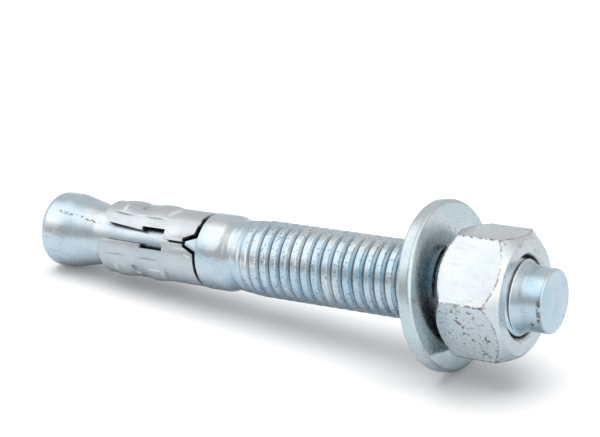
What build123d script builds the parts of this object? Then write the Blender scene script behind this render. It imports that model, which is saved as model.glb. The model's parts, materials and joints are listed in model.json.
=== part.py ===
from build123d import *
import math
import os

# Wedge anchor, lying on a surface: the cone end and the washer's rim touch it.
# Lengths are in millimetres. Stations are measured along the bolt from the cone end.

os.makedirs("parts", exist_ok=True)

# Bolt
bolt_length = 95.25
cone_diameter = 12.7
cone_end_diameter = 10.6
cone_rim_length = 1.5
cone_straight_length = 4.3
cone_half_angle = 12.0
neck_diameter = 9.9
collar_start = 32.85
collar_length = 4.6
collar_diameter = 12.7
collar_edge = 0.3
collar_slope_length = 0.9
blank_diameter = 11.6
blank_length = 1.4
thread_runout = 1.6
thread_diameter = 12.6
thread_chamfer = 0.55
dog_diameter = 10.1
dog_length = 3.45
dog_edge = 0.4
dog_slope_length = 1.5

# Triangular lug on the collar, which keys the clip's seam
lug_angle = 61.5
lug_width = 2.7
lug_tip_width = 0.6
lug_height = 2.2
lug_diameter = 12.3

# Expansion clip, rolled from sheet around the neck
clip_clearance = 0.2
clip_wall = 1.05
clip_setback = 1.4
clip_gap = 0.5
tongue_count = 3
slot_width = 2.3
slot_length = 13.8
tongue_corner = 2.0
eye_width = 3.7
eye_length = 4.6
eye_corner = 0.5
seam_width = 0.4
bump_height = 0.28
bump_arc = 52.0
bump_length = 4.6
bump_starts = (1.8, 8.6)
window_width = 2.2
window_depth = 0.35

# Nut and washer
nut_flats = 19.05
nut_height = 11.1
nut_face_diameter = 18.0
nut_chamfer_angle = 45.0
nut_turn = 20.0
nut_clearance = 0.06
nut_countersink = 0.6
washer_diameter = 27.0
washer_bore = 13.5
washer_thickness = 2.4
washer_edge = 0.6
washer_lean = 7.0
washer_gap = 0.15

# Stations that follow from the sizes
cone_taper_length = (cone_diameter - neck_diameter) / 2 / math.tan(math.radians(cone_half_angle))
cone_end_station = cone_straight_length + cone_taper_length
collar_end = collar_start + collar_length
blank_start = collar_end + collar_slope_length
thread_start = blank_start + blank_length
dog_start = bolt_length - dog_length
thread_end = dog_start - dog_slope_length
thread_end_diameter = thread_diameter - 2 * thread_chamfer
clip_outer_diameter = neck_diameter + 2 * (clip_clearance + clip_wall)
clip_start = cone_end_station + clip_setback
clip_end = collar_start - clip_gap
nut_outer_face = thread_end
nut_inner_face = nut_outer_face - nut_height

# The leaning washer stays clear of the nut by its own reach along the axis
lean = math.radians(washer_lean)
washer_reach = nut_face_diameter / 2 * math.sin(lean) + washer_thickness / 2 * math.cos(lean)
washer_station = nut_inner_face - washer_gap - washer_reach

# Resting tilt: the rounded cone rim and the washer's rounded lower rim touch the surface
rim_drop = (cone_diameter - cone_end_diameter) / 2
rim_radius = (cone_rim_length**2 + rim_drop**2) / (2 * rim_drop)
washer_out = washer_diameter / 2 - washer_edge
washer_back = washer_thickness / 2 - washer_edge
run_term = washer_station - cone_rim_length - washer_back * math.cos(lean) + washer_out * math.sin(lean)
drop_term = cone_diameter / 2 - rim_radius - washer_out * math.cos(lean) - washer_back * math.sin(lean)
rise_term = math.hypot(run_term, drop_term)
rest_tilt = math.asin((washer_edge - rim_radius) / rise_term) - math.atan2(drop_term, run_term)
end_height = (cone_diameter / 2 - rim_radius) * math.cos(rest_tilt) + rim_radius
end_height -= cone_rim_length * math.sin(rest_tilt)
tip_reach = bolt_length * math.cos(rest_tilt) + (dog_diameter / 2 - dog_edge) * math.sin(rest_tilt)
end_reach = cone_end_diameter / 2 * math.sin(rest_tilt)

# Frames: the bolt's axis rises towards the nut, above the middle of the footprint
axis_direction = Vector(math.cos(rest_tilt), 0, math.sin(rest_tilt))
axis_start = Vector(-(tip_reach - end_reach) / 2, 0, end_height)
bolt_axis = Axis(axis_start, axis_direction)
profile_plane = Plane(axis_start, x_dir=axis_direction, z_dir=(0, -1, 0))


def station(distance):
    # Point on the axis, measured from the cone end
    return axis_start + axis_direction * distance


def outward(angle):
    # Direction away from the axis, turned from upwards to the side
    up = Vector(-math.sin(rest_tilt), 0, math.cos(rest_tilt))
    turn = math.radians(angle)
    return up * math.cos(turn) + Vector(0, -1, 0) * math.sin(turn)


def wall_plane(distance, angle):
    # Plane through the axis, facing outwards, with x along the bolt
    return Plane(station(distance), x_dir=axis_direction, z_dir=outward(angle))


# Anchor bolt: cone, neck, collar, thread at its major diameter and dog point
with BuildPart() as anchor_bolt:
    with BuildSketch(profile_plane):
        with BuildLine():
            Line((0, 0), (0, cone_end_diameter / 2))
            TangentArc((cone_rim_length, cone_diameter / 2), (0, cone_end_diameter / 2), tangent=(-1, 0))
            Polyline(
                (cone_rim_length, cone_diameter / 2),
                (cone_straight_length, cone_diameter / 2),
                (cone_end_station, neck_diameter / 2),
                (collar_start, neck_diameter / 2),
                (collar_start, collar_diameter / 2 - collar_edge),
                (collar_start + collar_edge, collar_diameter / 2),
                (collar_end, collar_diameter / 2),
                (blank_start, blank_diameter / 2),
                (thread_start, blank_diameter / 2),
                (thread_start + thread_runout, thread_diameter / 2),
                (thread_end - thread_chamfer, thread_diameter / 2),
                (thread_end, thread_end_diameter / 2),
                (dog_start, dog_diameter / 2),
                (bolt_length - dog_edge, dog_diameter / 2),
                (bolt_length, dog_diameter / 2 - dog_edge),
                (bolt_length, 0),
                (0, 0),
            )
        make_face()
    revolve(axis=bolt_axis)
    with BuildSketch(wall_plane(collar_start, lug_angle)):
        with BuildLine():
            Polyline(
                (collar_edge, lug_width / 2),
                (0, lug_width / 2),
                (-lug_height, lug_tip_width / 2),
                (-lug_height, -lug_tip_width / 2),
                (0, -lug_width / 2),
                (collar_edge, -lug_width / 2),
                close=True,
            )
        make_face()
    extrude(amount=lug_diameter / 2)
anchor_bolt.part.label = "anchor_bolt"
export_step(anchor_bolt.part, "parts/anchor_bolt.step")

# Expansion clip: a rolled sleeve with embossed tongues, slots and a seam
clip_length = clip_end - clip_start
with BuildPart() as expansion_clip:
    with BuildSketch(profile_plane):
        with BuildLine():
            Polyline(
                (clip_start, clip_outer_diameter / 2 - clip_wall),
                (clip_start, clip_outer_diameter / 2 - clip_wall / 2),
                (clip_start + clip_wall / 2, clip_outer_diameter / 2),
                (clip_end, clip_outer_diameter / 2),
                (clip_end, clip_outer_diameter / 2 - clip_wall),
                close=True,
            )
        make_face()
    revolve(axis=bolt_axis)
    for tongue in range(tongue_count):
        middle = lug_angle + (tongue + 0.5) * 360 / tongue_count
        first_side = middle - bump_arc / 2
        for bump_start in bump_starts:
            bump_plane = Plane(
                station(clip_start + bump_start),
                x_dir=axis_direction,
                z_dir=axis_direction.cross(outward(first_side)),
            )
            with BuildSketch(bump_plane):
                with BuildLine():
                    base = clip_outer_diameter / 2 - clip_wall / 2
                    crown = clip_outer_diameter / 2 + bump_height
                    edge = clip_outer_diameter / 2
                    ThreePointArc((0, edge), (bump_length / 2, crown), (bump_length, edge))
                    Polyline((bump_length, edge), (bump_length, base), (0, base), (0, edge))
                make_face()
            revolve(axis=bolt_axis, revolution_arc=bump_arc)
        window_plane = wall_plane(clip_start + (bump_starts[0] + bump_length + bump_starts[1]) / 2, middle)
        with BuildSketch(window_plane.offset(clip_outer_diameter / 2 - window_depth)):
            Rectangle(window_width / 2, window_width)
        extrude(amount=window_depth + bump_height, mode=Mode.SUBTRACT)
        slot_angle = lug_angle + tongue * 360 / tongue_count
        with BuildSketch(wall_plane(clip_start, slot_angle)):
            with BuildLine():
                Polyline(
                    (-clip_wall, slot_width / 2 + 2 * tongue_corner),
                    (0, slot_width / 2 + 2 * tongue_corner),
                    (0, slot_width / 2),
                    (slot_length - eye_length, slot_width / 2),
                    (slot_length - eye_length, eye_width / 2),
                    (slot_length, eye_width / 2),
                    (slot_length, -eye_width / 2),
                    (slot_length - eye_length, -eye_width / 2),
                    (slot_length - eye_length, -slot_width / 2),
                    (0, -slot_width / 2),
                    (0, -slot_width / 2 - 2 * tongue_corner),
                    (-clip_wall, -slot_width / 2 - 2 * tongue_corner),
                    close=True,
                )
            made = make_face()
            mouth = [v for v in made.vertices() if abs(v.X) < 1e-6 and abs(abs(v.Y) - slot_width / 2) < 1e-6]
            fillet(mouth, tongue_corner)
            eye = [v for v in made.vertices() if abs(v.X - slot_length) < 1e-6]
            fillet(eye, eye_corner)
        extrude(amount=clip_outer_diameter, mode=Mode.SUBTRACT)
    with BuildSketch(wall_plane(collar_start, lug_angle)):
        with BuildLine():
            flank = math.hypot(lug_height, (lug_width - lug_tip_width) / 2)
            side_gap = clip_gap * flank / lug_height
            spread = (lug_width - lug_tip_width) / 2 / lug_height
            Polyline(
                (0, lug_width / 2 + side_gap),
                (-lug_height - clip_gap, lug_tip_width / 2 + side_gap - clip_gap * spread),
                (-lug_height - clip_gap, -lug_tip_width / 2 - side_gap + clip_gap * spread),
                (0, -lug_width / 2 - side_gap),
                close=True,
            )
        make_face()
    extrude(amount=clip_outer_diameter, mode=Mode.SUBTRACT)
    seam_length = clip_length - slot_length
    with BuildSketch(wall_plane(clip_end - seam_length / 2, lug_angle)):
        Rectangle(seam_length + seam_width, seam_width)
    extrude(amount=clip_outer_diameter, mode=Mode.SUBTRACT)
expansion_clip.part.label = "expansion_clip"
export_step(expansion_clip.part, "parts/expansion_clip.step")

# Washer: flat ring with a rolled edge, leaning back on the thread
washer_direction = Vector(math.cos(rest_tilt + lean), 0, math.sin(rest_tilt + lean))
washer_centre = station(washer_station)
washer_plane = Plane(washer_centre, x_dir=(0, -1, 0), z_dir=washer_direction)
with BuildPart() as washer:
    with BuildSketch(washer_plane.offset(-washer_thickness / 2)):
        Circle(washer_diameter / 2)
        Circle(washer_bore / 2, mode=Mode.SUBTRACT)
    extrude(amount=washer_thickness)
    outer_edges = washer.edges().filter_by(GeomType.CIRCLE).sort_by(SortBy.RADIUS)[-2:]
    fillet(outer_edges, washer_edge)
washer.part.label = "washer"
export_step(washer.part, "parts/washer.step")

# Hex nut, chamfered on both faces, with a bore that runs on the thread
nut_rotation = Plane(station(nut_inner_face), x_dir=outward(nut_turn), z_dir=axis_direction)
nut_corner = nut_flats / 2 / math.cos(math.pi / 6)
chamfer_rise = (nut_corner - nut_face_diameter / 2) * math.tan(math.radians(nut_chamfer_angle))
nut_bore = thread_diameter + 2 * nut_clearance
with BuildPart() as hex_nut:
    with BuildSketch(nut_rotation):
        RegularPolygon(nut_corner, 6)
    extrude(amount=nut_height)
    with BuildSketch(profile_plane):
        with BuildLine():
            Polyline(
                (nut_inner_face, nut_bore / 2 + nut_countersink),
                (nut_inner_face, nut_face_diameter / 2),
                (nut_inner_face + chamfer_rise, nut_corner),
                (nut_outer_face - chamfer_rise, nut_corner),
                (nut_outer_face, nut_face_diameter / 2),
                (nut_outer_face, nut_bore / 2 + nut_countersink),
                (nut_outer_face - nut_countersink, nut_bore / 2),
                (nut_inner_face + nut_countersink, nut_bore / 2),
                close=True,
            )
        make_face()
    revolve(axis=bolt_axis, mode=Mode.INTERSECT)
hex_nut.part.label = "hex_nut"
export_step(hex_nut.part, "parts/hex_nut.step")
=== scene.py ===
import json
import math

import bpy
from mathutils import Matrix, Vector


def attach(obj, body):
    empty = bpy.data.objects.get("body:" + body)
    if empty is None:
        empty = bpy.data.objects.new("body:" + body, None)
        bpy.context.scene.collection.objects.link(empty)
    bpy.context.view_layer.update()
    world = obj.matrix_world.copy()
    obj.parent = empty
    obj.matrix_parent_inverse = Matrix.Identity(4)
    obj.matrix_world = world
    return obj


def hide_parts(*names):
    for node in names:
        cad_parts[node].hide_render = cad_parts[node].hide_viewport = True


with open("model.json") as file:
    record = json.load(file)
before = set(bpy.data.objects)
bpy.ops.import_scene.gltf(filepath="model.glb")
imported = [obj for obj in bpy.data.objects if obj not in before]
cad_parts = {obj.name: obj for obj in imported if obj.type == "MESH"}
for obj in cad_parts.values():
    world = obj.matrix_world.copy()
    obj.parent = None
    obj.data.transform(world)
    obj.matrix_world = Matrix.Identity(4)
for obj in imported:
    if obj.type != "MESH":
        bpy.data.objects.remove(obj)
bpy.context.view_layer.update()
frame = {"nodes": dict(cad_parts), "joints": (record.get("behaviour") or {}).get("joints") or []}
mm = 0.001

# the bolt's own frame: up from its axis, towards the near side, along the axis from the cone's end
jointStation = 85.0  # mm from the cone's end to where the nut's joint stands
joint = next(j for j in frame["joints"] if j["name"] == "nut_spin")
axisDirection = Vector(joint["axis"]).normalized()
upDirection = Vector((-axisDirection.z, 0.0, axisDirection.x))
nearDirection = axisDirection.cross(upDirection)
coneEnd = Vector(joint["pos_m"]) - axisDirection * (jointStation * mm)
boltFrame = Matrix((upDirection, nearDirection, axisDirection)).transposed().to_4x4()
boltFrame.translation = coneEnd
print("bolt frame ready")


# shader maths as plain sums: a socket in a wrapper
class Sock:
    def __init__(self, tree, socket):
        self.tree = tree
        self.socket = socket

    def math(self, operation, other=None, clamp=False):
        node = self.tree.nodes.new("ShaderNodeMath")
        node.operation = operation
        node.use_clamp = clamp
        values = [self] if other is None else [self, other]
        for place, value in enumerate(values):
            plug(self.tree, node.inputs[place], value)
        return Sock(self.tree, node.outputs[0])

    def __add__(self, other):
        return self.math("ADD", other)

    def __mul__(self, other):
        return self.math("MULTIPLY", other)

    __radd__ = __add__
    __rmul__ = __mul__

    def __sub__(self, other):
        return self.math("SUBTRACT", other)

    def __rsub__(self, other):
        return (self * -1.0) + other

    def __pow__(self, other):
        return self.math("POWER", other)

    def clamped(self):
        return self.math("ADD", 0.0, clamp=True)


def plug(tree, socket, value):
    if isinstance(value, Sock):
        tree.links.new(value.socket, socket)
    else:
        socket.default_value = value


# one material, or the world, and its nodes
class Finish:
    def __init__(self, name, blocks=None):
        self.material = (bpy.data.materials if blocks is None else blocks).new(name)
        self.material.use_nodes = True
        self.tree = self.material.node_tree
        self.tree.nodes.clear()

    def node(self, kind, settings=None, **sockets):
        # a node of any kind; a socket goes by its name, or by its number as in0, in1
        made = self.tree.nodes.new("ShaderNode" + kind)
        for key, value in (settings or {}).items():
            setattr(made, key, value)
        for key, value in sockets.items():
            byNumber = key.startswith("in") and key[2:].isdigit()
            plug(self.tree, made.inputs[int(key[2:]) if byNumber else key.replace("_", " ")], value)
        return made

    def out(self, made, name=0):
        return Sock(self.tree, made.outputs[name])

    def objectPlace(self, stretch=(1.0, 1.0, 1.0)):
        place = self.out(self.node("TexCoord"), "Object")
        return self.out(self.node("Mapping", Vector=place, Scale=stretch))

    def dot(self, vector, direction):
        made = self.node("VectorMath", {"operation": "DOT_PRODUCT"}, in0=vector, in1=tuple(direction))
        return self.out(made, "Value")

    def boltPlace(self):
        # station along the bolt and distance from its axis in mm, angle from upwards in radians
        place = self.out(self.node("TexCoord"), "Object")
        place = self.out(self.node("VectorMath", {"operation": "SUBTRACT"}, in0=place, in1=tuple(coneEnd)))
        station = self.dot(place, axisDirection) * (1.0 / mm)
        upward = self.dot(place, upDirection) * (1.0 / mm)
        nearward = self.dot(place, nearDirection) * (1.0 / mm)
        radius = (upward * upward + nearward * nearward) ** 0.5
        return station, radius, nearward.math("ARCTAN2", upward)

    def noise(self, place, scale, detail, roughness):
        return self.out(self.node("TexNoise", Vector=place, Scale=scale, Detail=detail, Roughness=roughness))

    def band(self, value, edges):
        # rises from 0 at the first edge to 1 at the second
        low, high = edges
        return self.out(self.node("MapRange", {"clamp": True}, Value=value, From_Min=low, From_Max=high))

    def between(self, value, start, end):
        return self.band(value, start) * self.band(value, end)

    def patches(self, look):
        # blotches of a noise, cut at two levels
        place = self.objectPlace(look.get("stretch", (1.0, 1.0, 1.0)))
        return self.band(self.noise(place, look["scale"], look["detail"], look["roughness"]), look["edges"])

    def facing(self, angle, degrees, edges):
        # 1 on the side that looks towards an angle round the bolt
        return self.band((angle - math.radians(degrees)).math("COSINE"), edges)

    def mix(self, factor, first, second):
        made = self.node("Mix", {"data_type": "RGBA", "blend_type": "MIX"})
        plug(self.tree, made.inputs["Factor"], factor)
        plug(self.tree, made.inputs[6], first if isinstance(first, Sock) else (*first, 1.0))
        plug(self.tree, made.inputs[7], second if isinstance(second, Sock) else (*second, 1.0))
        return Sock(self.tree, made.outputs[2])

    def finish(self, shader, output="OutputMaterial"):
        self.node(output, in0=self.out(shader))
        return self.material


# modelling helpers; gaps, widths and points are in mm, angles in degrees
weldGap = 0.002
boltWeldGap = 0.004
sharpAngle = 32.0  # degrees between faces, past which an edge is rounded
smoothAngle = 30.0


def share(value):
    # kept between 0 and 1
    return max(0.0, min(1.0, value))


def deselectAll():
    if bpy.context.object and bpy.context.object.mode != "OBJECT":
        bpy.ops.object.mode_set(mode="OBJECT")
    bpy.ops.object.select_all(action="DESELECT")


def pick(piece):
    deselectAll()
    piece.select_set(True)
    bpy.context.view_layer.objects.active = piece


def applyModifiers(piece):
    pick(piece)
    for modifier in list(piece.modifiers):
        bpy.ops.object.modifier_apply(modifier=modifier.name)


def drawProfile(name, points):
    # a line of (radius, station) points in the local XZ plane, extruded point by point
    deselectAll()
    radius, station = points[0]
    bpy.ops.mesh.primitive_plane_add(size=mm, location=(radius * mm, 0.0, station * mm))
    line = bpy.context.object
    line.name = name
    bpy.ops.object.transform_apply(location=True, rotation=True, scale=True)
    bpy.ops.object.mode_set(mode="EDIT")
    bpy.ops.mesh.select_all(action="SELECT")
    bpy.ops.mesh.merge(type="CENTER")
    for (oldRadius, oldStation), (newRadius, newStation) in zip(points, points[1:]):
        step = ((newRadius - oldRadius) * mm, 0.0, (newStation - oldStation) * mm)
        bpy.ops.mesh.extrude_region_move(TRANSFORM_OT_translate={"value": step})
    bpy.ops.object.mode_set(mode="OBJECT")
    return line


def turnProfile(line, steps, pitch=0.0, turns=1):
    # sweeps the line once round the local Z axis, or along a helix
    screw = line.modifiers.new("turn", "SCREW")
    screw.axis = "Z"
    screw.steps = steps
    screw.render_steps = steps
    screw.screw_offset = pitch * mm
    screw.iterations = turns
    screw.use_merge_vertices = pitch == 0.0
    screw.merge_threshold = 0.0001 * mm
    applyModifiers(line)


def arcPoints(centre, radius, fromAngle, toAngle, count):
    # (radius, station) points on an arc; angles in degrees, 0 outwards and 90 towards the tip
    steps = [math.radians(fromAngle + (toAngle - fromAngle) * i / count) for i in range(count + 1)]
    return [(centre[0] + radius * math.cos(a), centre[1] + radius * math.sin(a)) for a in steps]


def weldMesh(piece, gap):
    pick(piece)
    bpy.ops.object.mode_set(mode="EDIT")
    bpy.ops.mesh.select_all(action="SELECT")
    bpy.ops.mesh.remove_doubles(threshold=gap * mm)
    bpy.ops.mesh.dissolve_degenerate(threshold=gap * mm)
    bpy.ops.mesh.normals_make_consistent(inside=False)
    bpy.ops.object.mode_set(mode="OBJECT")


def copyOfNode(name, newName):
    # a merged copy of a CAD node's mesh
    deselectAll()
    piece = bpy.data.objects.new(newName, frame["nodes"][name].data.copy())
    bpy.context.scene.collection.objects.link(piece)
    weldMesh(piece, weldGap)
    return piece


def roundEdges(piece, width, segments):
    bevel = piece.modifiers.new("edges", "BEVEL")
    bevel.width = width * mm
    bevel.segments = segments
    bevel.limit_method = "ANGLE"
    bevel.angle_limit = math.radians(sharpAngle)
    applyModifiers(piece)
    smoothFaces(piece, smoothAngle)


def smoothFaces(piece, angle):
    pick(piece)
    bpy.ops.object.shade_smooth_by_angle(angle=math.radians(angle))


def dress(piece, material, body):
    piece.data.materials.clear()
    piece.data.materials.append(material)
    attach(piece, body)


# bright plating on steel: cloudy tint, fine scuffs, pits and brown specks
# each pair of edges is where a mask starts and where it is full
zincLook = {
    "coolColour": (0.60, 0.69, 0.74),
    "paleColour": (0.76, 0.78, 0.79),
    "scuffColour": (0.50, 0.53, 0.55),
    "speckColour": (0.13, 0.09, 0.07),
    # near black, for painted shade
    "dirtColour": (0.015, 0.02, 0.025),
    "cloud": {"scale": 160.0, "detail": 5.0, "roughness": 0.6, "edges": (0.35, 0.68)},
    "grain": {"scale": 1500.0, "detail": 6.0, "roughness": 0.65, "edges": (0.3, 0.75)},
    "streak": {"scale": 900.0, "detail": 3.0, "roughness": 0.6, "stretch": (0.25, 1.0, 1.0)},
    "scuffEdges": (0.52, 0.75),
    "scuff": 0.35,
    "dullEdges": (0.5, 0.8),  # of the streaks, which are a little duller
    "streakDull": 0.08,
    "dent": {"scale": 420.0, "detail": 2.0, "roughness": 0.5},
    "dentStrength": 0.22,
    "dentDepth": 0.12,
    "speck": {"scale": 1100.0, "detail": 3.0, "roughness": 0.7, "edges": (0.66, 0.71)},
    "speckField": {"scale": 120.0, "detail": 2.0, "roughness": 0.5, "edges": (0.40, 0.56)},
    "speckStrength": 0.5,
    "speckDull": 0.35,
    "speckBare": 0.6,  # how far a speck stops being metal
    "dirtDull": 0.25,
    "roughness": 0.22,
    "roughSpread": 0.12,
    "grainHeight": 0.6,
    "streakHeight": 0.4,
    "speckHeight": 0.8,
    "bumpStrength": 0.35,
    "bumpDepth": 0.03,
}


def spotMask(made, station, angle, spot):
    # 1 inside a soft slanted oval on the surface, 0 outside
    along = (station - spot["station"]) * (1.0 / spot["halfLength"])
    around = (angle - math.radians(spot["angle"])) * (spot["radius"] / spot["halfWidth"])
    around = around + along * spot["slant"]
    return made.band(along * along + around * around, spot["edges"]) * spot["strength"]


def zincPlating(name, look, dirt=None):
    # the part's mask function gives two masks: painted shade, and real wear that shows bare or rusty metal
    made = Finish(name)
    place = made.objectPlace()
    station, radius, angle = made.boltPlace()

    def layer(kind):
        values = look[kind]
        spread = made.objectPlace(values["stretch"]) if "stretch" in values else place
        return made.noise(spread, values["scale"], values["detail"], values["roughness"])

    grain = layer("grain")
    streak = layer("streak")
    dents = layer("dent")
    if "struck" in look:  # one stretch took the hammering
        struck = look["struck"]
        hit = made.between(station, struck["start"], struck["end"])
        dents = dents * (hit * struck["more"] + struck["rest"])
    specks = made.band(layer("speck"), look["speck"]["edges"])
    specks = specks * made.band(layer("speckField"), look["speckField"]["edges"]) * look["speckStrength"]
    if "speckSide" in look:  # one side has caught most of the rust
        side = look["speckSide"]
        specks = specks * (made.facing(angle, side["angle"], side["edges"]) * side["more"] + side["rest"])
    cloud = made.band(layer("cloud"), look["cloud"]["edges"])
    colour = made.mix(cloud, look["coolColour"], look["paleColour"])
    colour = made.mix(made.band(streak, look["scuffEdges"]) * look["scuff"], colour, look["scuffColour"])
    colour = made.mix(specks.clamped(), colour, look["speckColour"])
    paintedShade, wearAndShade = dirt(made, station, radius, angle) if dirt else (None, None)
    if wearAndShade is not None:
        colour = made.mix(wearAndShade.clamped(), colour, look["speckColour"])
    # painted shade: the masked places darkened towards near black
    if paintedShade is not None:
        colour = made.mix(paintedShade.clamped(), colour, look["dirtColour"])
    # painted highlights and painted shade, in soft ovals on the outer surface
    for spot in look.get("spots", ()):
        mask = spotMask(made, station, angle, spot) * made.band(radius, spot["depth"])
        colour = made.mix(mask, colour, spot["colour"])
    rough = made.band(grain, look["grain"]["edges"]) * look["roughSpread"] + look["roughness"]
    rough = rough + specks * look["speckDull"] + made.band(streak, look["dullEdges"]) * look["streakDull"]
    if paintedShade is not None:
        rough = rough + paintedShade * look["dirtDull"]
    height = grain * look["grainHeight"] + streak * look["streakHeight"] - specks * look["speckHeight"]
    grained = made.node(
        "Bump", Strength=look["bumpStrength"], Distance=look["bumpDepth"] * mm, Height=height,
    )
    dented = made.node(
        "Bump", Strength=look["dentStrength"], Distance=look["dentDepth"] * mm,
        Height=dents, Normal=made.out(grained),
    )
    surface = made.node(
        "BsdfPrincipled", Base_Color=colour, Roughness=rough.clamped(),
        Metallic=(1.0 - specks * look["speckBare"]).clamped(), Normal=made.out(dented),
    )
    return made.finish(surface)


# anchor bolt: turned ends, a lug on the collar and a true thread; (radius, station) points in mm
boltShape = {
    "roundSteps": 96,
    "length": 95.25,
    "coneBack": ((0.0, 0.0), (3.6, 0.0), (5.1, 0.0)),
    "coneRadius": 6.35,
    "coneRound": 1.596,
    "coneRoundStation": 1.5,
    "coneRoundFrom": -70.0,
    "coneWall": (2.6, 4.1),
    "coneTaper": ((6.3, 4.6), (6.2, 5.1), (5.75, 7.2), (5.1, 10.3), (5.0, 10.7)),
    "neckRadius": 4.95,
    "neck": (11.1, 20.0, 32.8),
    "collarFace": 32.85,
    "collarRadius": 6.35,
    "collarRound": 0.35,
    "collarWall": (34.2, 36.6),
    "collarTaper": ((6.32, 37.2), (6.2, 37.7), (5.98, 38.2), (5.84, 38.6)),
    "blankRadius": 5.8,
    "threadStart": 38.9,
    "threadFull": 44.2,
    "threadEnd": 90.3,
    "threadChamfer": 0.55,
    "threadRound": 0.09,
    "pitch": 1.954,
    "majorRadius": 6.28,
    "rootRadius": 5.46,
    "crestWidth": 0.50,
    "rootWidth": 0.08,
    "dogShoulder": ((5.55, 90.42), (5.2, 91.3), (5.08, 91.7)),
    "dogRadius": 5.05,
    "dogWall": (92.2, 94.6),
    "dogRound": 0.4,
    "dogEndRings": (4.2, 2.4, 0.0),
    "arcSteps": 5,
    "coneArcSteps": 8,
}
lugShape = {
    "angle": 61.5,  # round the bolt, from upwards
    "baseHalf": 1.35,
    "tipHalf": 0.35,
    "baseStation": 33.4,
    "tipStation": 30.65,
    "innerRadius": 4.6,
    "height": 1.62,
    "edgeRound": 0.18,
    "edgeSteps": 3,
}
slotCount = 3
boltLook = {
    **zincLook,
    "coolColour": (0.50, 0.65, 0.76),
    "roughness": 0.19,
    "bumpStrength": 0.45,
    "dentStrength": 0.38,
    "struck": {"start": (33.0, 34.0), "end": (39.0, 38.0), "more": 2.2, "rest": 0.5},
    "wearAndShade": {
        "neck": {  # painted shade: the neck darkened beside each slot and under the clip's far end
            "radius": (5.35, 5.15), "start": (12.6, 14.0), "end": (33.2, 33.0), "strength": 0.96,
            "beside": (0.90, 0.66), "mouth": (13.0, 18.5), "mouthMore": 0.75, "mouthRest": 0.25,
            "under": (26.2, 26.8),
        },
        # painted shade in the thread's grooves
        "groove": {"radius": (5.78, 5.50), "start": (41.0, 44.0), "end": (90.3, 90.1), "strength": 0.55},
        "drag": {  # a scuffed line along the cone towards the slot
            "angle": 37.0, "slant": -0.012, "waver": 0.16, "width": (0.055, 0.02),
            "start": (3.0, 4.0), "end": (12.2, 11.2), "strength": 0.75,
            "waverNoise": (900.0, 3.0, 0.6),
            "patches": {"scale": 1700.0, "detail": 2.0, "roughness": 0.6, "edges": (0.44, 0.56)},
        },
        "scrape": {  # low on the cone
            "angle": 88.0, "side": (0.86, 0.97), "start": (0.8, 1.4), "end": (6.4, 5.2), "strength": 0.4,
            "patches": {"scale": 1300.0, "detail": 3.0, "roughness": 0.7, "edges": (0.57, 0.64),
                        "stretch": (0.5, 1.0, 1.8)},
        },
        "chip": {  # the dog's edge is rubbed on one side
            "station": 94.8, "width": (0.42, 0.22), "radius": (4.65, 4.8),
            "angle": 98.0, "side": (0.72, 0.95), "strength": 0.8,
            "patches": {"scale": 1300.0, "detail": 3.0, "roughness": 0.7, "edges": (0.42, 0.56)},
        },
        "pit": {
            "station": 93.5, "angle": 117.0, "edges": (0.16, 0.05), "radius": (4.6, 4.8), "dogRadius": 5.0,
        },
        "nick": {  # tiny marks on the crests
            "radius": (5.95, 6.1), "start": (40.0, 42.0), "end": (90.6, 90.3), "strength": 0.55,
            "patches": {"scale": 2100.0, "detail": 2.0, "roughness": 0.6, "edges": (0.57, 0.66)},
        },
    },
}


def boltShadeAndWear(made, station, radius, angle):
    neck, groove, drag, scrape = (boltLook["wearAndShade"][key] for key in ("neck", "groove", "drag", "scrape"))
    chip, pit, nick = (boltLook["wearAndShade"][key] for key in ("chip", "pit", "nick"))
    fromSlot = ((angle - math.radians(lugShape["angle"])) * float(slotCount)).math("COSINE")
    mouth = made.band(station, neck["mouth"]) * neck["mouthMore"] + neck["mouthRest"]
    shadedNeck = (made.band(fromSlot, neck["beside"]) * mouth + made.band(station, neck["under"])).clamped()
    shadedNeck = made.band(radius, neck["radius"]) * made.between(station, neck["start"], neck["end"]) * shadedNeck
    shadedGroove = made.band(radius, groove["radius"]) * made.between(station, groove["start"], groove["end"])
    # painted shade on the neck beside the slots and under the clip, and in the thread's grooves
    paintedShade = (shadedNeck * neck["strength"] + shadedGroove * groove["strength"]).clamped()

    waver = (made.noise(made.objectPlace(), *drag["waverNoise"]) - 0.5) * drag["waver"]
    line = (angle - math.radians(drag["angle"]) + station * drag["slant"] + waver).math("ABSOLUTE")
    wearAndShade = made.band(line, drag["width"]) * made.between(station, drag["start"], drag["end"])
    wearAndShade = wearAndShade * made.patches(drag["patches"]) * drag["strength"]
    scraped = made.patches(scrape["patches"]) * made.facing(angle, scrape["angle"], scrape["side"])
    wearAndShade = wearAndShade + scraped * made.between(station, scrape["start"], scrape["end"]) * scrape["strength"]
    nicked = made.patches(nick["patches"]) * made.band(radius, nick["radius"])
    wearAndShade = wearAndShade + nicked * made.between(station, nick["start"], nick["end"]) * nick["strength"]
    chipped = made.band((station - chip["station"]).math("ABSOLUTE"), chip["width"])
    chipped = chipped * made.band(radius, chip["radius"]) * made.facing(angle, chip["angle"], chip["side"])
    chipped = chipped * made.patches(chip["patches"])
    aside = (angle - math.radians(pit["angle"])) * pit["dogRadius"]
    pitted = made.band((station - pit["station"]) ** 2.0 + aside ** 2.0, pit["edges"])
    pitted = pitted * made.band(radius, pit["radius"])
    return paintedShade, wearAndShade + (chipped + pitted).clamped() * chip["strength"]


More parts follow.
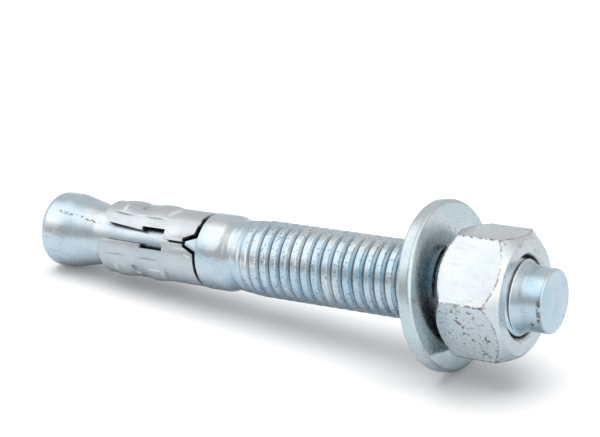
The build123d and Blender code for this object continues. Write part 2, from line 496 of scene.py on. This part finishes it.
def threadProfile(shape):
    # one pitch, from root to root, with rounded crest and root
    pitch, rounding = shape["pitch"], shape["threadRound"]
    root, crest = shape["rootRadius"], shape["majorRadius"]
    rootEnd = shape["rootWidth"] * pitch / 2
    crestStart = pitch / 2 - shape["crestWidth"] * pitch / 2
    points = [
        (root, 0.0),
        (root, rootEnd - rounding / 2),
        (root + rounding, rootEnd + rounding / 2),
        ((root + crest) / 2, (rootEnd + crestStart) / 2),
        (crest - rounding, crestStart - rounding / 2),
        (crest, crestStart + rounding / 2),
        (crest, pitch / 2),
    ]
    return points + [(radius, pitch - station) for radius, station in reversed(points[:-1])]


def threadRunOut(shape, station):
    # 0 where the thread begins, 1 where it is full
    start = shape["threadStart"]
    return share((station - start) / (shape["threadFull"] - start))


def threadLimit(shape, station):
    # the largest radius at a station, with the run-out and the chamfered end
    blank = shape["blankRadius"]
    first = blank + (shape["majorRadius"] - blank) * threadRunOut(shape, station)
    toEnd = shape["threadEnd"] - station
    return min(first, shape["majorRadius"] - max(0.0, shape["threadChamfer"] - toEnd))


def threadFloor(shape, station):
    # the root rises to the blank at the run-out
    blank = shape["blankRadius"]
    return blank + (shape["rootRadius"] - blank) * threadRunOut(shape, station)


def makeThread(shape):
    # a helix that is longer than the thread, its ends pressed flat on the two end stations
    spareTurns = 2
    turns = math.ceil((shape["threadEnd"] - shape["threadStart"]) / shape["pitch"]) + spareTurns
    thread = drawProfile("thread", threadProfile(shape))
    turnProfile(thread, shape["roundSteps"], shape["pitch"], turns)
    firstStation = shape["threadStart"] - shape["pitch"]
    depth = shape["majorRadius"] - shape["rootRadius"]
    for vertex in thread.data.vertices:
        radius = math.hypot(vertex.co.x, vertex.co.y) / mm
        station = vertex.co.z / mm + firstStation
        kept = min(max(station, shape["threadStart"]), shape["threadEnd"])
        floor = threadFloor(shape, kept)
        limit = threadLimit(shape, kept)
        newRadius = min(floor + (limit - floor) * (radius - shape["rootRadius"]) / depth, limit)
        if station <= shape["threadStart"]:
            newRadius = shape["blankRadius"]
        if station >= shape["threadEnd"]:
            newRadius = shape["majorRadius"] - shape["threadChamfer"]
        vertex.co.x *= newRadius / radius
        vertex.co.y *= newRadius / radius
        vertex.co.z = kept * mm
    weldMesh(thread, weldGap)
    return thread


def makeBack(shape):
    # cone, neck, collar and the short blank before the thread
    cone, neck, collar = (shape[key] for key in ("coneRadius", "neckRadius", "collarRadius"))
    points = list(shape["coneBack"])
    centre = (cone - shape["coneRound"], shape["coneRoundStation"])
    points += arcPoints(centre, shape["coneRound"], shape["coneRoundFrom"], 0.0, shape["coneArcSteps"])
    points += [(cone, station) for station in shape["coneWall"]]
    points += shape["coneTaper"]
    points += [(neck, station) for station in shape["neck"]]
    centre = (collar - shape["collarRound"], shape["collarFace"] + shape["collarRound"])
    points += arcPoints(centre, shape["collarRound"], -90.0, 0.0, shape["arcSteps"])
    points += [(collar, station) for station in shape["collarWall"]]
    points += shape["collarTaper"]
    points += [(shape["blankRadius"], shape["threadStart"])]
    back = drawProfile("bolt_back", points)
    turnProfile(back, shape["roundSteps"])
    return back


def makeDog(shape):
    # from the thread's chamfer to the flat end
    points = [(shape["majorRadius"] - shape["threadChamfer"], shape["threadEnd"])]
    points += shape["dogShoulder"]
    points += [(shape["dogRadius"], station) for station in shape["dogWall"]]
    centre = (shape["dogRadius"] - shape["dogRound"], shape["length"] - shape["dogRound"])
    points += arcPoints(centre, shape["dogRound"], 0.0, 90.0, shape["arcSteps"])
    points += [(radius, shape["length"]) for radius in shape["dogEndRings"]]
    dog = drawProfile("bolt_dog", points)
    turnProfile(dog, shape["roundSteps"])
    return dog


def makeLug(shape):
    # a wedge of the collar's own wall, cut to a triangle
    deselectAll()
    bpy.ops.mesh.primitive_plane_add(size=mm, location=(0.0, 0.0, 0.0))
    lug = bpy.context.object
    lug.name = "lug"
    rows = ((shape["baseHalf"], shape["baseStation"]), (shape["tipHalf"], shape["tipStation"]))
    corners = [(side * half, station) for half, station in rows for side in (-1.0, 1.0)]
    for vertex, (across, station) in zip(lug.data.vertices, corners):
        vertex.co = (shape["innerRadius"] * mm, across * mm, station * mm)
    bpy.ops.object.mode_set(mode="EDIT")
    bpy.ops.mesh.select_all(action="SELECT")
    bpy.ops.mesh.extrude_region_move(TRANSFORM_OT_translate={"value": (shape["height"] * mm, 0.0, 0.0)})
    bpy.ops.mesh.select_all(action="SELECT")
    bpy.ops.mesh.normals_make_consistent(inside=False)
    bpy.ops.object.mode_set(mode="OBJECT")
    bevel = lug.modifiers.new("edges", "BEVEL")
    bevel.width = shape["edgeRound"] * mm
    bevel.segments = shape["edgeSteps"]
    applyModifiers(lug)
    lug.data.transform(Matrix.Rotation(math.radians(shape["angle"]), 4, "Z"))
    return lug


def makeBolt(shape):
    thread = makeThread(shape)
    back = makeBack(shape)
    dog = makeDog(shape)
    deselectAll()
    for part in (thread, back, dog):
        part.select_set(True)
    bpy.context.view_layer.objects.active = back
    bpy.ops.object.join()
    back.name = "threaded_bolt"
    weldMesh(back, boltWeldGap)
    lug = makeLug(lugShape)
    union = back.modifiers.new("lug", "BOOLEAN")
    union.operation = "UNION"
    union.solver = "EXACT"
    union.object = lug
    applyModifiers(back)
    bpy.data.objects.remove(lug)
    back.data.transform(boltFrame)
    back.data.update()
    smoothFaces(back, sharpAngle)
    return back


threadedBolt = makeBolt(boltShape)
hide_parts("anchor_bolt")
dress(threadedBolt, zincPlating("bolt_zinc", boltLook, boltShadeAndWear), "bolt")
print("bolt done:", len(threadedBolt.data.polygons), "faces")


# expansion clip: the sheet's edges rounded, its slots flared and its rear edge drawn back
clipShape = {
    "edgeRound": 0.10,
    "edgeSteps": 2,
    "slotHalf": 1.15,
    "middleRadius": 6.0,
    "tongueEnd": 12.286,
    "mouthStation": 18.5,
    "flare": 1.5,
    "flareReach": 5.0,
    "drawnFrom": 30.6,
    "rearEdge": 32.6,
    "drawnBack": 0.5,
    "drawnReach": 6.0,
}
clipLightSpots = {"radius": 6.3, "edges": (1.0, 0.2), "depth": (6.02, 6.12)}
# colours of the painted highlights and the painted shade on the clip
glintColour = (0.98, 0.98, 0.97)
shadeSpotColour = (0.22, 0.24, 0.27)
lightSpotKeys = ("station", "angle", "halfLength", "halfWidth", "slant", "strength", "colour")
clipLook = {
    **zincLook,
    "coolColour": (0.60, 0.635, 0.67),
    "paleColour": (0.70, 0.72, 0.725),
    "scuff": 0.4,
    "roughness": 0.30,
    "dentStrength": 0.35,
    # painted highlights on one side of the bumps and edges, and painted shade on the other
    "spots": [{**clipLightSpots, **dict(zip(lightSpotKeys, values))} for values in (
        (16.3, 14.0, 0.50, 1.2, -0.5, 0.90, glintColour),
        (25.9, 6.0, 1.05, 1.5, 0.6, 0.95, glintColour),
        (27.0, 45.0, 2.2, 1.3, 0.3, 0.26, glintColour),
        (15.9, 118.0, 0.35, 0.7, -0.8, 0.95, glintColour),
        (24.3, 114.0, 1.6, 0.28, -0.6, 0.95, glintColour),
        (25.2, 126.0, 0.45, 1.1, 0.8, 0.80, glintColour),
        (26.3, 120.0, 0.35, 1.2, 0.8, 0.45, shadeSpotColour),
        (16.9, 119.0, 0.35, 0.8, -0.8, 0.40, shadeSpotColour),
        (31.3, 80.5, 0.90, 0.25, -1.0, 0.95, glintColour),
    )],
    # painted shade only, in the clip's gaps and on its inner side
    "wearAndShade": {
        "middleRadius": 6.2,
        "wall": {"radius": (5.84, 5.62), "strength": 0.94},
        "notch": {  # painted shade along the upper flank of the lug's notch, widening the gap
            "tip": 30.15, "slope": 0.477, "offset": 0.615, "edges": (0.34, 0.20),
            "start": (0.2, 0.4), "end": (2.4, 2.1), "front": (29.9, 30.1),
        },
        "rim": {  # and in patches along the rear edge above it
            "front": (32.0, 32.12), "start": (1.6, 1.9), "end": (7.0, 5.0),
            "patches": {"scale": 700.0, "detail": 2.0, "roughness": 0.5, "edges": (0.40, 0.52)},
        },
        "strength": 0.9,
    },
}


def clipPaintedShade(made, station, radius, angle):
    # painted shade: the cut walls and the inside of the sheet darkened too
    wall, notch, rim = (clipLook["wearAndShade"][key] for key in ("wall", "notch", "rim"))
    walls = made.band(radius, wall["radius"]) * wall["strength"]
    above = (math.radians(lugShape["angle"]) - angle) * clipLook["wearAndShade"]["middleRadius"]
    flank = above - (station - notch["tip"]) * notch["slope"] - notch["offset"]
    notched = made.band(flank, notch["edges"]) * made.between(above, notch["start"], notch["end"])
    notched = notched * made.band(station, notch["front"])
    rimmed = made.band(station, rim["front"]) * made.between(above, rim["start"], rim["end"])
    rimmed = rimmed * made.patches(rim["patches"])
    return (walls + (notched + rimmed).clamped() * clipLook["wearAndShade"]["strength"]).clamped(), None


def eased(value):
    value = share(value)
    return value * value * (3.0 - 2.0 * value)


def bendClip(clip, shape):
    # each slot's mouth flares on its upper side, and the rear edge is drawn back above the lug
    toBolt = boltFrame.inverted()
    for vertex in clip.data.vertices:
        place = toBolt @ vertex.co
        station = place.z / mm
        radius = math.hypot(place.x, place.y)
        angle = math.atan2(place.y, place.x)
        mouth = (shape["mouthStation"] - station) / (shape["mouthStation"] - shape["tongueEnd"])
        back = (station - shape["drawnFrom"]) / (shape["rearEdge"] - shape["drawnFrom"])
        shift = 0.0
        for number in range(slotCount):
            heading = math.radians(lugShape["angle"]) + number * math.tau / slotCount
            above = ((heading - angle + math.pi) % math.tau - math.pi) * shape["middleRadius"]
            if above <= 0.0:
                continue
            fall = eased(1.0 - (above - shape["slotHalf"]) / shape["flareReach"])
            shift += shape["flare"] * max(0.0, mouth) ** 2 * fall
            if number == 0:
                beside = eased(above / shape["slotHalf"]) * eased(1.0 - above / shape["drawnReach"])
                station -= shape["drawnBack"] * share(back) * beside
        angle -= shift / shape["middleRadius"]
        vertex.co = boltFrame @ Vector((math.cos(angle) * radius, math.sin(angle) * radius, station * mm))
    weldMesh(clip, boltWeldGap)


rolledClip = copyOfNode("expansion_clip", "rolled_clip")
bendClip(rolledClip, clipShape)
roundEdges(rolledClip, clipShape["edgeRound"], clipShape["edgeSteps"])
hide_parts("expansion_clip")
dress(rolledClip, zincPlating("clip_zinc", clipLook, clipPaintedShade), "bolt")
print("clip done:", len(rolledClip.data.polygons), "faces")


# washer: the node itself, plated
washerLook = {
    **zincLook,
    "coolColour": (0.54, 0.65, 0.68),
    "roughness": 0.20,
    "scuff": 0.2,
    "dentStrength": 0.08,
}
flatWasher = frame["nodes"]["washer"]
flatWasher.data.materials.clear()
flatWasher.data.materials.append(zincPlating("washer_zinc", washerLook))
print("washer done")


# nut: its edges rounded, the plating rubbed off its corners
nutShape = {
    "turn": 20.0,
    "flatRadius": 9.525,
    "faceRadius": 9.0,
    "outerFace": 90.3,
    "innerFace": 79.2,
    "edgeRound": 0.28,
    "edgeSteps": 3,
}
nutLook = {
    **zincLook,
    "coolColour": (0.66, 0.72, 0.75),
    "speck": {**zincLook["speck"], "edges": (0.585, 0.635)},
    "speckStrength": 1.0,
    "speckSide": {"angle": 112.0, "edges": (0.80, 0.92), "more": 0.9, "rest": 0.1},
    "dentStrength": 0.06,
    "wearAndShade": {
        "patches": {"scale": 1500.0, "detail": 3.0, "roughness": 0.7, "edges": (0.42, 0.58)},
        "corner": {"edges": (0.075, 0.03), "radius": (10.0, 10.4), "strength": 0.85},
        "seam": {"edges": (-0.26, -0.14), "across": (-0.15, -0.08), "radius": (9.3, 9.5), "strength": 0.6},
        # painted shade inside the bore
        "bore": {"radius": (6.75, 6.45), "strength": 0.9},
        "endFace": {"edges": (-0.12, -0.04), "strength": 0.07, "dentStrength": 0.3},  # painted shade: darker; also duller and dented
        "dents": {"scale": 620.0, "detail": 2.0, "roughness": 0.5, "edges": (0.62, 0.68)},
    },
}


def shifted(edges, by):
    return [edge + by for edge in edges]


def nutShadeAndWear(made, station, radius, angle):
    # rubbed along the corners and where the chamfers meet the flats; painted shade in the bore and on the
    # end face
    corner, seam, bore, endFace = (nutLook["wearAndShade"][key] for key in ("corner", "seam", "bore", "endFace"))
    turn = math.radians(nutShape["turn"])
    fromCorner = ((angle - turn) * 3.0).math("SINE").math("ABSOLUTE")
    rubbed = made.band(fromCorner, corner["edges"]) * made.band(radius, corner["radius"])
    across = None
    for flat in (30.0, 90.0, 150.0):  # three pairs of flats
        reach = (radius * (angle - (turn + math.radians(flat))).math("COSINE")).math("ABSOLUTE")
        across = reach if across is None else across.math("MAXIMUM", reach)
    cone = radius - nutShape["faceRadius"]
    outer = made.band(station + cone, shifted(seam["edges"], nutShape["outerFace"]))
    inner = made.band(cone - station, shifted(seam["edges"], -nutShape["innerFace"]))
    seamed = made.band(across, shifted(seam["across"], nutShape["flatRadius"])) * (outer + inner).clamped()
    seamed = seamed * made.band(radius, seam["radius"])
    worn = (rubbed * corner["strength"] + seamed * seam["strength"]).clamped()
    worn = worn * made.patches(nutLook["wearAndShade"]["patches"])
    onEnd = made.band(station, shifted(endFace["edges"], nutShape["outerFace"]))
    dented = made.patches(nutLook["wearAndShade"]["dents"]) * onEnd
    paintedShade = made.band(radius, bore["radius"]) * bore["strength"] + onEnd * endFace["strength"]
    return paintedShade.clamped(), worn + dented * endFace["dentStrength"]


formedNut = copyOfNode("hex_nut", "formed_nut")
roundEdges(formedNut, nutShape["edgeRound"], nutShape["edgeSteps"])
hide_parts("hex_nut")
dress(formedNut, zincPlating("nut_zinc", nutLook, nutShadeAndWear), "nut")
print("nut done:", len(formedNut.data.polygons), "faces")


# floor, light and camera
studio = {
    "floorSize": 3.0,
    "floorColour": (0.90, 0.90, 0.90),
    "floorRoughness": 0.45,
    "mirroredColour": (0.55, 0.60, 0.63),  # what the metal sees of the floor
    "cameraLift": 0.12,
    "glossyLift": 0.03,
    "front": (0.50, 0.50, 0.49),
    "back": (0.66, 0.67, 0.67),
    "backPlace": (-0.25, 0.95, 0.2),
    "backEdges": (-0.5, 0.6),
    "fill": (0.52, 0.52, 0.53),
    "tent": (1.35, 1.38, 1.40),  # over the left shoulder
    "tentPlace": (-0.62, -0.30, 0.72),
    "tentEdges": (0.74, 0.93),
    "side": (1.45, 1.44, 1.38),  # a softer one to the right
    "sidePlace": (0.78, -0.24, 0.58),
    "sideEdges": (0.55, 0.93),
    "lampPlace": (-0.05, 0.05, 0.55),
    "lampTarget": (0.0, 0.0, 0.01),
    "lampSize": (0.85, 0.70),
    "lampPower": 5.2,
    "cameraPlace": (0.1682, -0.26479, 0.14754),
    "cameraElevation": 22.4,
    "cameraTurn": 32.13,
    "cameraLens": 126.0,
    "cameraSensor": 36.0,
    "cameraClip": 0.01,
}
white = (1.0, 1.0, 1.0)


def makeFloor():
    deselectAll()
    bpy.ops.mesh.primitive_plane_add(size=studio["floorSize"], location=(0.0, 0.0, 0.0))
    floor = bpy.context.object
    floor.name = "floor"
    paint = Finish("floor_white")
    rays = paint.node("LightPath")
    fromCamera = paint.out(rays, "Is Camera Ray")
    fromGloss = paint.out(rays, "Is Glossy Ray")
    tone = paint.mix(fromGloss, studio["floorColour"], studio["mirroredColour"])
    board = paint.node("BsdfPrincipled", Base_Color=tone, Roughness=studio["floorRoughness"])
    glow = paint.node("Emission", Color=(*white, 1.0), Strength=1.0)
    lift = fromCamera * studio["cameraLift"] + fromGloss * studio["glossyLift"]
    mixed = paint.node("MixShader", Fac=lift.clamped(), in1=paint.out(board), in2=paint.out(glow))
    floor.data.materials.append(paint.finish(mixed))


def makeSky():
    # the room as the metal sees it; a plain grey fill for what isn't shiny, and white for the camera
    sky = Finish("studio", bpy.data.worlds)
    bpy.context.scene.world = sky.material
    heading = sky.out(sky.node("TexCoord"), "Generated")
    room = studio["front"]
    for part in ("back", "side", "tent"):
        mask = sky.band(sky.dot(heading, studio[part + "Place"]), studio[part + "Edges"])
        room = sky.mix(mask, room, studio[part])
    path = sky.node("LightPath")
    room = sky.mix(sky.out(path, "Is Diffuse Ray"), room, studio["fill"])
    room = sky.mix(sky.out(path, "Is Camera Ray"), room, white)
    sky.finish(sky.node("Background", Color=room, Strength=1.0), "OutputWorld")


def makeLamp():
    data = bpy.data.lights.new("overhead", "AREA")
    data.shape = "RECTANGLE"
    data.size, data.size_y = studio["lampSize"]
    data.energy = studio["lampPower"]
    lamp = bpy.data.objects.new("overhead", data)
    bpy.context.scene.collection.objects.link(lamp)
    lamp.location = studio["lampPlace"]
    beam = Vector(studio["lampTarget"]) - Vector(studio["lampPlace"])
    lamp.rotation_euler = beam.to_track_quat("-Z", "Y").to_euler()
    lamp.visible_glossy = False  # the metal mirrors the room alone


def makeCamera():
    data = bpy.data.cameras.new("view")
    data.lens = studio["cameraLens"]
    data.sensor_width = studio["cameraSensor"]
    data.clip_start = studio["cameraClip"]
    camera = bpy.data.objects.new("view", data)
    bpy.context.scene.collection.objects.link(camera)
    camera.location = studio["cameraPlace"]
    tip = math.radians(90.0 - studio["cameraElevation"])
    camera.rotation_euler = (tip, 0.0, math.radians(studio["cameraTurn"]))
    bpy.context.scene.camera = camera


makeFloor()
makeSky()
makeLamp()
makeCamera()
bpy.context.scene.view_settings.view_transform = "Standard"
print("studio lit")
